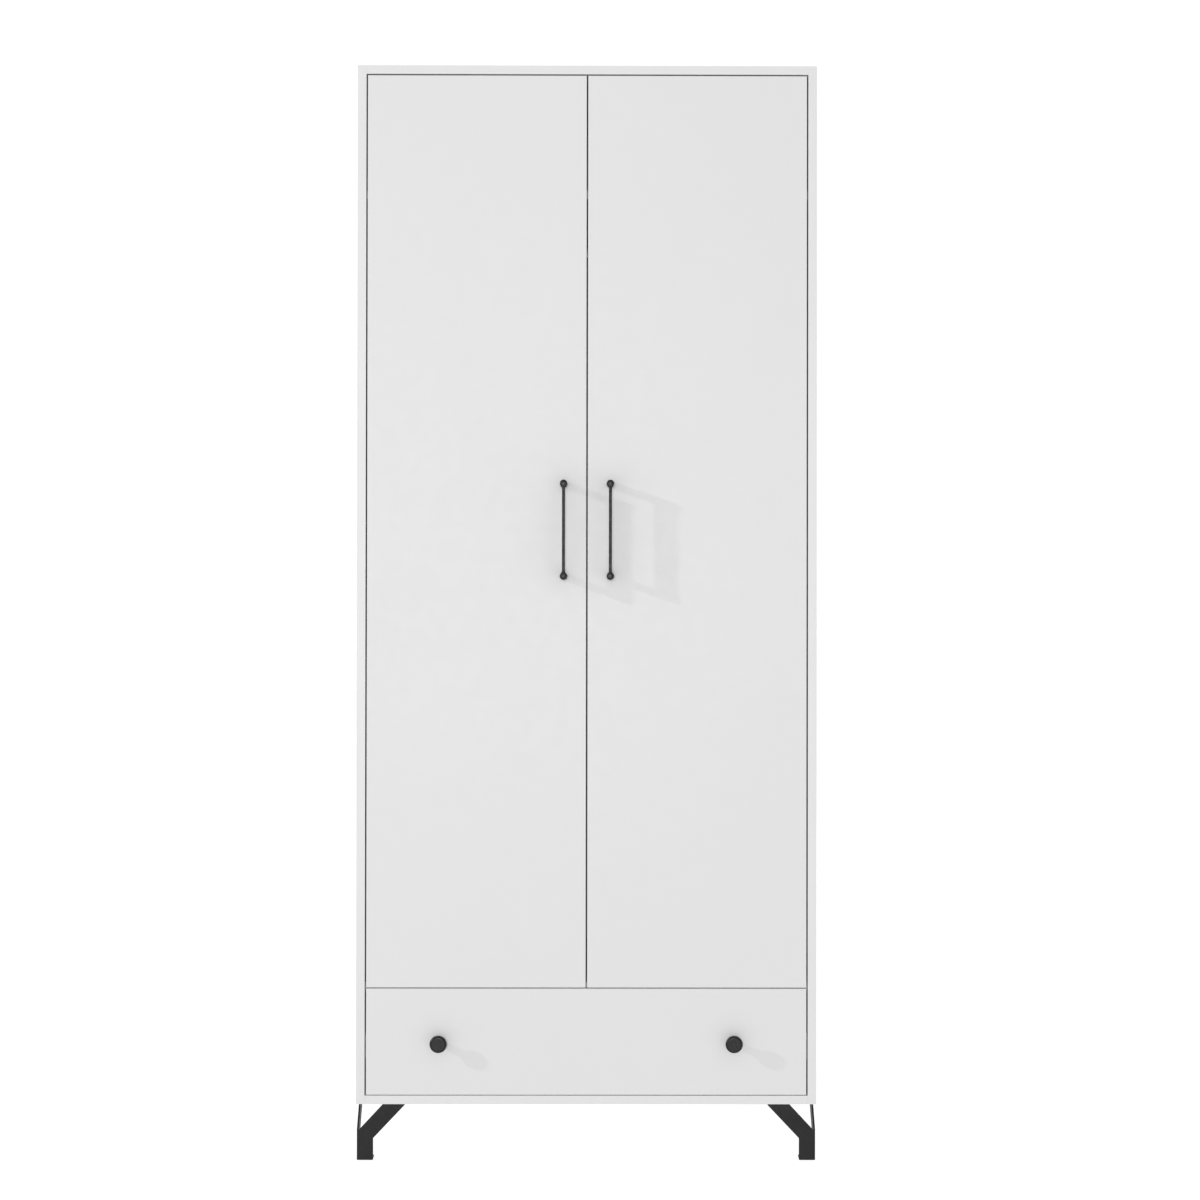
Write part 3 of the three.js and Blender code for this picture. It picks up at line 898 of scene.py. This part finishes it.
def add_post(side, end, foot, radius, projection):
    """A round post with a rounded rim and a slightly crowned face."""
    crown, rim = 0.5 * MM, 1.7 * MM
    edge = arc((radius - rim, projection - crown - rim), rim, 0, 78, 8)
    face = [(0.45 * radius, projection - 0.1 * MM), (0, projection)]
    bm = bmesh.new()
    add_turned(bm, [(0, 0), (radius, 0)] + edge + face, foot, (0, -1, 0), 72)
    replaced = (f"handle_post_{side}_{end}",)
    new_piece(f"handle_{side}_{end}_post", bm, f"door_{side}", "knob_black", 0.2 * MM, replaced)


def add_bar(side, x, ys, zs, post_radius):
    """Sections of the bar stacked from post to post, flaring a little where it meets them."""
    half_width, flare, flare_length = 2.6 * MM, 1.5 * MM, 5 * MM
    corner = 0.5 * MM
    sink = 1.5 * MM  # how far the bar's ends reach into the posts
    start, stop = zs[0] + post_radius - sink, zs[1] - post_radius + sink
    steps = 6
    near_end = [flare_length * (i / steps) ** 1.3 for i in range(steps + 1)]
    levels = [start + d for d in near_end] + [stop - d for d in reversed(near_end)]
    rings = []
    bm = bmesh.new()
    for z in levels:
        from_end = min(z - start, stop - z)
        w = half_width + flare * max(0.0, 1 - from_end / flare_length) ** 2
        section = rounded(rectangle((x - w, ys[0]), (x + w, ys[1])), corner, 4)
        rings.append([bm.verts.new((a, b, z)) for a, b in section])
    for first, second in zip(rings, rings[1:]):
        ring_walls(bm, first, second)
    bm.faces.new(rings[0])
    bm.faces.new(rings[-1])
    replaced = (f"handle_grip_{side}",)
    new_piece(f"handle_{side}_bar", bm, f"door_{side}", "bar_black", 0.1 * MM, replaced)


def add_bumpers(side, sign):
    """Soft pads on the door's back that meet the hat shelf's edge as it closes."""
    radius, lift = 5 * MM, 1.6 * MM
    profile = [(0, 0), (radius, 0), (radius, 0.5 * lift), (0.85 * radius, 0.9 * lift), (0, lift)]
    z = middle_of("hat_shelf").z
    bm = bmesh.new()
    for from_middle in (60 * MM, 200 * MM):
        add_turned(bm, profile, (sign * from_middle, FRONT_REAR, z), (0, 1, 0), 32)
    new_piece(f"door_{side}_bumpers", bm, f"door_{side}", "white_plastic")


# ------------------------------------------------------------------ concealed hinges

HINGE_PIN = (20.5 * MM, 10 * MM)  # inwards and back from the door's outer front corner
LINK_LENGTH = 15 * MM
ARM_FACE = 13.5 * MM  # how far inwards the arm's face is from the door's outer edge
PLATE_BACK = 57 * MM  # from the fronts to the middle of the mounting plate
PLATE_LIFT = 2.4 * MM
SADDLE_LIFT = 5.8 * MM


def from_corner(sign, inwards, back):
    """A place in plan, by its distances from a door's outer front corner."""
    return sign * (DOOR_OUTER - inwards), FRONT + back


def add_hinge(side, sign, level, z):
    """Cup and wings on the door, arm and plate on the carcass, and the link between them."""
    name = f"hinge_{side}_{level}"
    add_hinge_cup(name, side, sign, level, z)
    add_hinge_arm(name, side, sign, level, z)
    add_hinge_plate(name, sign, z)
    add_hinge_screws(name, sign, z)
    add_hinge_link(name, side, sign, level, z)


def add_hinge_cup(name, side, sign, level, z):
    """The cup with its rolled lip, a wing above and below it, and a screw in each wing."""
    body = f"door_{side}"
    x = sign * (DOOR_OUTER - CUP_FROM_EDGE)
    outer, wall, floor, lip = 17.2 * MM, 1.3 * MM, 10.8 * MM, 1.1 * MM
    inner = outer - wall
    profile = [
        (0, -floor),
        (outer - 1 * MM, -floor),
        (outer, -floor + 1 * MM),
        (outer, 0),
        (outer + 1.2 * MM, 0),
        (outer + 1.2 * MM, 0.6 * lip),
        (outer + 0.8 * MM, lip),
        (inner + 0.5 * MM, lip),
        (inner, lip - 0.5 * MM),
        (inner, -floor + 2.2 * MM),
        (inner - 1 * MM, -floor + wall),
        (0, -floor + wall),
    ]
    bm = bmesh.new()
    add_turned(bm, profile, (x, FRONT_REAR, z), (0, 1, 0))
    new_piece(f"{name}_cup", bm, body, "nickel", 0.15 * MM, (f"hinge_cup_{side}_{level}",))
    half, near, far, thickness = 8.5 * MM, 15.5 * MM, 30.5 * MM, 1.2 * MM
    bm = bmesh.new()
    for way in (-1, 1):
        ear = rectangle((x - half, z + way * near), (x + half, z + way * far))
        add_prism(bm, rounded(ear, 6 * MM, 6), "y", FRONT_REAR, FRONT_REAR + thickness)
    new_piece(f"{name}_wings", bm, body, "nickel", 0.25 * MM)
    screw_rise = 24 * MM
    bm = bmesh.new()
    for way in (-1, 1):
        head = (x, FRONT_REAR + thickness, z + way * screw_rise)
        add_screw(bm, head, (0, 1, 0), 3.6 * MM)
    new_piece(f"{name}_cup_screws", bm, body, "zinc")


def add_hinge_arm(name, side, sign, level, z):
    """A pressed arm that steps from its plate on the upright out to the pin, forked round it."""
    half, slot_half, slot_reach = 7 * MM, 4.5 * MM, 5
    # The outline in millimetres inwards and back from the door's outer front corner.
    pin_in, pin_back, face = HINGE_PIN[0] / MM, HINGE_PIN[1] / MM, ARM_FACE / MM
    nose, beak = 3, 2.8  # beside the pin, and in front of it
    seat, rear = 3.6, 84  # the straight part's side next to the upright, and its end
    near_side, far_side = (16.5, 28), (18.5, 30)  # where the slope starts and ends on each side
    outline = [
        (pin_in - nose, pin_back - beak),
        (pin_in + nose, pin_back - beak),
        (pin_in + nose, far_side[0]),
        (face, far_side[1]),
        (face, rear),
        (seat, rear),
        (seat, near_side[1]),
        (pin_in - nose, near_side[0]),
    ]
    plan = [from_corner(sign, a * MM, b * MM) for a, b in rounded(outline, 2.8, 6)]
    bm = bmesh.new()
    add_prism(bm, plan, "z", z - half, z + half)
    slot = bmesh.new()
    near = from_corner(sign, (pin_in - slot_reach) * MM, 0)
    far = from_corner(sign, (pin_in + slot_reach) * MM, (pin_back + 5.5) * MM)
    add_box(slot, (*near, z - slot_half), (*far, z + slot_half))
    arm = carve(bm, slot)
    new_piece(f"{name}_arm", arm, "carcass", "nickel", 0.35 * MM, (f"hinge_arm_{side}_{level}",))


def add_hinge_plate(name, sign, z):
    """The cross-shaped mounting plate on the upright, with the saddle that the arm sits on."""
    centre = (FRONT + PLATE_BACK, z)
    plate_face = sign * (INNER - PLATE_LIFT)
    bm = bmesh.new()
    wings = rounded(centred_rectangle(centre, 8 * MM, 26 * MM), 6 * MM)
    add_prism(bm, wings, "x", sign * INNER, plate_face)
    saddle = rounded(centred_rectangle(centre, 18 * MM, 6.4 * MM), 2 * MM)
    add_prism(bm, saddle, "x", plate_face, sign * (INNER - SADDLE_LIFT))
    new_piece(f"{name}_plate", bm, "carcass", "nickel", 0.3 * MM)


def add_hinge_screws(name, sign, z):
    """The plate's two fixing screws, and the arm's two adjusters."""
    inwards = (-sign, 0, 0)
    bm = bmesh.new()
    for rise in (-18 * MM, 18 * MM):
        head = (sign * (INNER - PLATE_LIFT), FRONT + PLATE_BACK, z + rise)
        add_screw(bm, head, inwards, 3.8 * MM)
    for back in (42 * MM, 70 * MM):
        add_screw(bm, (*from_corner(sign, ARM_FACE, back), z), inwards, 3.2 * MM)
    new_piece(f"{name}_screws", bm, "carcass", "zinc")


def add_hinge_link(name, side, sign, level, z):
    """One link for the pair: a round end on the arm's pin, and one in the cup."""
    pin = from_corner(sign, *HINGE_PIN)
    tip = from_corner(sign, HINGE_PIN[0] + LINK_LENGTH, HINGE_PIN[1])
    half, thick = 4 * MM, 1 * MM
    web = half * 0.9
    bm = bmesh.new()
    for centre, radius in ((pin, 2.2 * MM), (tip, 1.6 * MM)):
        add_pin(bm, radius, -half, half, (*centre, z), (0, 0, 1), 32)
    add_box(bm, (pin[0], pin[1] - thick, z - web), (tip[0], tip[1] + thick, z + web))
    replaced = (f"hinge_link_{side}_{level}",)
    new_piece(f"{name}_links", bm, f"hinge_links_{side}", "nickel", 0.3 * MM, replaced)


# ------------------------------------------------------------------ drawer

def add_drawer():
    add_board("drawer_front", "drawer", ("-x", "+x", "-z", "+z"), drawer_front_groove())
    for node in ("drawer_side_left", "drawer_side_right", "drawer_back"):
        dress_cad(node, "foil_board", 0.5 * MM)
    dress_cad("drawer_bottom", "drawer_hardboard", 0.2 * MM)
    add_drawer_fittings()
    for side in SIDES:
        add_knob(side)
        add_runner(side)


def drawer_front_groove():
    """The room that the front leaves for the edge of the drawer's bottom, as a bmesh."""
    low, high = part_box("drawer_bottom")
    slack, past_front = 0.4 * MM, 1 * MM
    groove = bmesh.new()
    start = (low.x - slack, low.y - slack, low.z - slack / 2)
    add_box(groove, start, (high.x + slack, FRONT_REAR + past_front, high.z + slack / 2))
    return groove


def add_drawer_fittings():
    """Covered cam fittings that hold the sides to the front, and screws into the back's ends."""
    from_front, from_bottom, from_top = 34 * MM, 30 * MM, 25 * MM
    back_y = middle_of("drawer_back").y
    covers, screws = bmesh.new(), bmesh.new()
    for side, sign in SIDES.items():
        low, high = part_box(f"drawer_side_{side}")
        inner, outer = sorted((low.x, high.x), key=abs)
        for z in (low.z + from_bottom, high.z - from_top):
            add_cam_cover(covers, (inner, FRONT_REAR + from_front, z), (-sign, 0, 0))
            add_screw(screws, (outer, back_y, z), (sign, 0, 0))
    new_piece("drawer_cam_covers", covers, "drawer", "white_plastic")
    new_piece("drawer_back_screws", screws, "drawer", "zinc")


def knob_profile(radius, projection):
    """A narrow neck that flares into a flat-faced disc with a rounded rim."""
    neck, foot, rim, back_rim = 6.4 * MM, 7.5 * MM, 4.5 * MM, 1.5 * MM
    flare_start, flare_steps = 6 * MM, 10
    head_back = projection - 6.3 * MM
    flare = radius - back_rim - neck - 1 * MM
    profile = [(0, 0), (foot, 0), (foot, 0.9 * MM), (neck + 0.3 * MM, 1.9 * MM), (neck, 3.2 * MM)]
    for angle in (i / flare_steps * math.pi / 2 for i in range(flare_steps + 1)):
        height = flare_start + (head_back - flare_start) * math.sin(angle)
        profile.append((neck + flare * (1 - math.cos(angle)), height))
    profile += arc((radius - back_rim, head_back + back_rim), back_rim, -90, 0, 6)
    profile += arc((radius - rim, projection - rim), rim, 0, 90, 12)
    return profile + [(0.45 * radius, projection - 0.05 * MM), (0, projection - 0.08 * MM)]


def add_knob(side):
    """A turned mushroom knob, and its screw on the inside of the drawer front."""
    low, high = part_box(f"knob_{side}")
    x, z = (low.x + high.x) / 2, (low.z + high.z) / 2
    profile = knob_profile((high.x - low.x) / 2, FRONT - low.y)
    bm = bmesh.new()
    add_turned(bm, profile, (x, FRONT, z), (0, -1, 0), 96)
    new_piece(f"knob_{side}_turned", bm, "drawer", "knob_black", 0.15 * MM, (f"knob_{side}",))
    bm = bmesh.new()
    add_screw(bm, (x, FRONT_REAR, z), (0, 1, 0), WIDE_SCREW)
    new_piece(f"knob_{side}_screw", bm, "drawer", "zinc")


# ------------------------------------------------------------------ drawer runners

OUTER_WEB = 1.2 * MM  # from an upright's inner face to the outer member's inner face
INNER_WEB = 11.8 * MM  # and to the inner member's outer face


def add_runner(side):
    """Three nested channels, their screws, and rows of balls where the channels always overlap."""
    for member in ("outer", "middle", "inner"):
        dress_cad(f"runner_{member}_{side}", "zinc", 0.25 * MM)
    sign = SIDES[side]
    low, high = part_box(f"runner_middle_{side}")
    middle = (low + high) / 2
    from_end = 35 * MM
    members = (("outer", "carcass", OUTER_WEB, -sign), ("inner", "drawer", INNER_WEB, sign))
    for member, body, off, facing in members:
        bm = bmesh.new()
        for y in (low.y + from_end, (low.y + high.y) / 2, high.y - from_end):
            add_screw(bm, (sign * (INNER - off), y, middle.z), (facing, 0, 0))
        new_piece(f"runner_{member}_{side}_screws", bm, body, "zinc")
    add_balls(side, low.y, high.y, middle.z)


def add_balls(side, front_y, rear_y, z):
    """Balls between the outer and middle members at the rear, and the middle and inner in front.
    Each row runs above and below the members' middle line."""
    pitch, count, from_end = 12 * MM, 12, 20 * MM
    outer_row = [rear_y - from_end - i * pitch for i in range(count)]
    inner_row = [front_y + from_end + i * pitch for i in range(count)]
    outer_off, outer_rise, outer_radius = 5.8 * MM, 19.6 * MM, 1.55 * MM
    inner_off, inner_rise, inner_radius = 8.4 * MM, 14.9 * MM, 1.7 * MM
    rows = (
        (outer_row, outer_off, outer_rise, outer_radius),
        (inner_row, inner_off, inner_rise, inner_radius),
    )
    bm = bmesh.new()
    for row, off, rise, radius in rows:
        for y in row:
            for way in (-1, 1):
                spot = Matrix.Translation((SIDES[side] * (INNER - off), y, z + way * rise))
                bmesh.ops.create_icosphere(bm, subdivisions=2, radius=radius, matrix=spot)
    new_piece(f"runner_{side}_balls", bm, f"runner_middle_{side}", "bright_chrome")


# ------------------------------------------------------------------ everything in order

scene.view_settings.view_transform = "Standard"
add_camera()
add_floor()
add_surroundings()
add_lights()
add_carcass()
add_back()
add_hanging_rail()
add_legs()
add_doors()
add_drawer()
